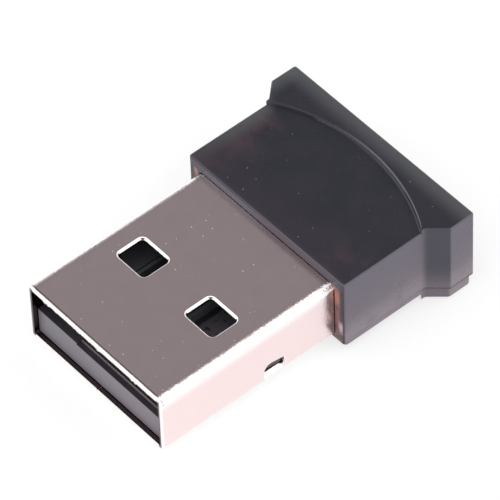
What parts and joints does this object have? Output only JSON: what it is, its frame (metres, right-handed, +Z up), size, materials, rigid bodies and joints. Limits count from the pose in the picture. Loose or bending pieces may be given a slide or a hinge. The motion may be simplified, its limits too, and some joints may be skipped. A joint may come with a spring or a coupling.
{
  "type": "usb wireless adapter",
  "caption": "Nano wireless adapter: a folded steel USB plug with a black tongue, in a short T-shaped smoke-grey cap with its board inside.",
  "frame": {"origin": "under the middle of the adapter, level with the lowest face of the cap's rear band", "axes": "-Y out of the plug's mouth, +Y to the back of the cap, X across the plug, +Z up to the face with the windows and the arc"},
  "size_m": [0.0158, 0.0222, 0.0063],
  "materials": {
    "smoke_plastic": "smoke-grey translucent moulded plastic, fine satin",
    "nickel_plate": "nickel-plated steel sheet, satin bright",
    "black_plastic": "black moulded plastic, matt",
    "gold_plate": "gold-plated spring brass",
    "green_board": "glass-epoxy board with green solder mask",
    "chip_plastic": "black moulded chip package",
    "tin": "bright tin",
    "ceramic": "fired ceramic, tan",
    "resistor_black": "black resistor coat",
    "copper": "bare copper",
    "led_lens": "clear moulded lens, milky"
  },
  "bodies": {
    "root": {"upper_housing": "smoke_plastic", "lower_cover": "smoke_plastic", "usb_shell": "nickel_plate", "contact_carrier": "black_plastic", "contact_1": "gold_plate", "contact_2": "gold_plate", "contact_3": "gold_plate", "contact_4": "gold_plate", "circuit_board": "green_board", "radio_chip": "chip_plastic", "memory_chip": "chip_plastic", "crystal_can": "tin", "indicator_led": "led_lens", "filter_coil": "ceramic", "antenna_trace": "copper", "capacitor_1": "ceramic", "capacitor_2": "ceramic", "capacitor_3": "ceramic", "capacitor_4": "ceramic", "capacitor_5": "ceramic", "capacitor_6": "ceramic", "resistor_1": "resistor_black", "resistor_2": "resistor_black", "contact_solder_1": "tin", "contact_solder_2": "tin", "contact_solder_3": "tin", "contact_solder_4": "tin", "leg_solder_left": "tin", "leg_solder_right": "tin"}
  },
  "joints": []
}
